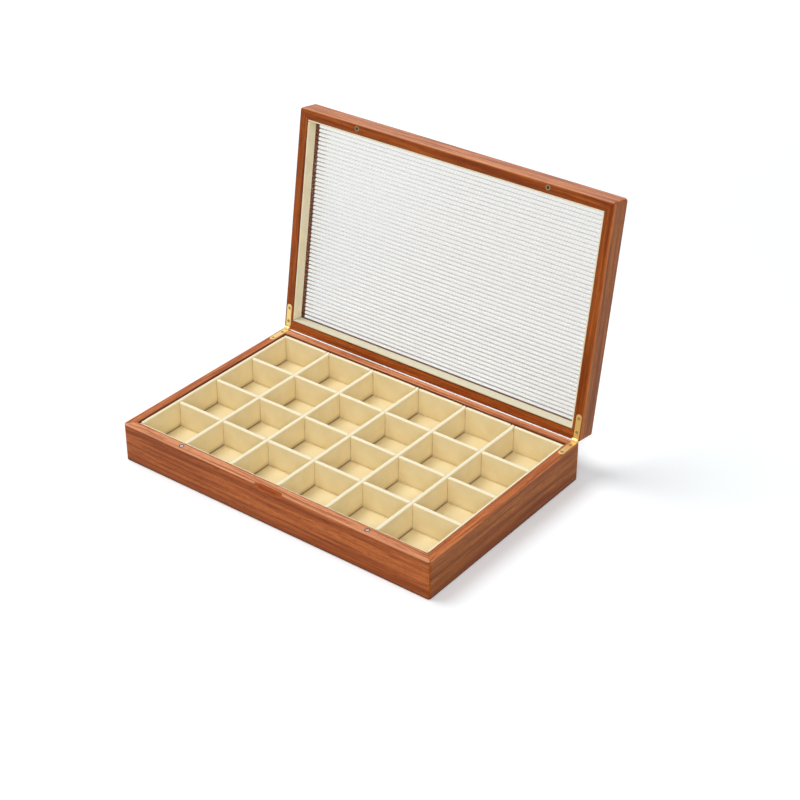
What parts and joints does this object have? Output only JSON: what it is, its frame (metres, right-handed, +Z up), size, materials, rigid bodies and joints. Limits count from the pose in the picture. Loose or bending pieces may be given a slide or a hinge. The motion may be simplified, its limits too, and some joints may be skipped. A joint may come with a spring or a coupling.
{
  "type": "ring display box",
  "caption": "Hinged wooden display box with a divided cream fabric tray for rings and a lid with a clear ribbed panel.",
  "frame": {"origin": "centre of the base's underside, on the surface that the box stands on", "axes": "+X to the box's right along its length, +Y to the back where the hinges are, +Z up"},
  "size_m": [0.28, 0.2257, 0.2113],
  "materials": {
    "stained_wood": "satin",
    "bottom_board": "matte",
    "felt": "matte",
    "cream_fabric": "matte",
    "clear_panel": "gloss",
    "magnet_steel": "gloss",
    "hinge_brass": "gloss"
  },
  "bodies": {
    "base": {"base_front_wall": "stained_wood", "base_back_wall": "stained_wood", "base_left_wall": "stained_wood", "base_right_wall": "stained_wood", "base_bottom_panel": "bottom_board", "base_felt": "felt", "tray_floor": "cream_fabric", "tray_front_lining": "cream_fabric", "tray_back_lining": "cream_fabric", "tray_left_lining": "cream_fabric", "tray_right_lining": "cream_fabric", "column_divider_1": "cream_fabric", "column_divider_2": "cream_fabric", "column_divider_3": "cream_fabric", "column_divider_4": "cream_fabric", "column_divider_5": "cream_fabric", "row_divider_1": "cream_fabric", "row_divider_2": "cream_fabric", "row_divider_3": "cream_fabric", "base_magnet_left": "magnet_steel", "base_magnet_right": "magnet_steel", "hinge_left_base_leaf": "hinge_brass", "hinge_right_base_leaf": "hinge_brass", "hinge_left_pin": "hinge_brass", "hinge_right_pin": "hinge_brass", "base_hinge_screws": "hinge_brass"},
    "lid": {"lid_front_rail": "stained_wood", "lid_back_rail": "stained_wood", "lid_left_rail": "stained_wood", "lid_right_rail": "stained_wood", "lid_ribbed_panel": "clear_panel", "lid_front_lining": "cream_fabric", "lid_back_lining": "cream_fabric", "lid_left_lining": "cream_fabric", "lid_right_lining": "cream_fabric", "lid_magnet_left": "magnet_steel", "lid_magnet_right": "magnet_steel", "hinge_left_lid_leaf": "hinge_brass", "hinge_right_lid_leaf": "hinge_brass", "lid_hinge_screws": "hinge_brass"}
  },
  "joints": [
    {"name": "lid_hinge", "type": "hinge", "parent": "base", "child": "lid", "pos_m": [0, 0.0908, 0.03175], "axis": [1, 0, 0], "range_deg": [0, 98.7]}
  ]
}
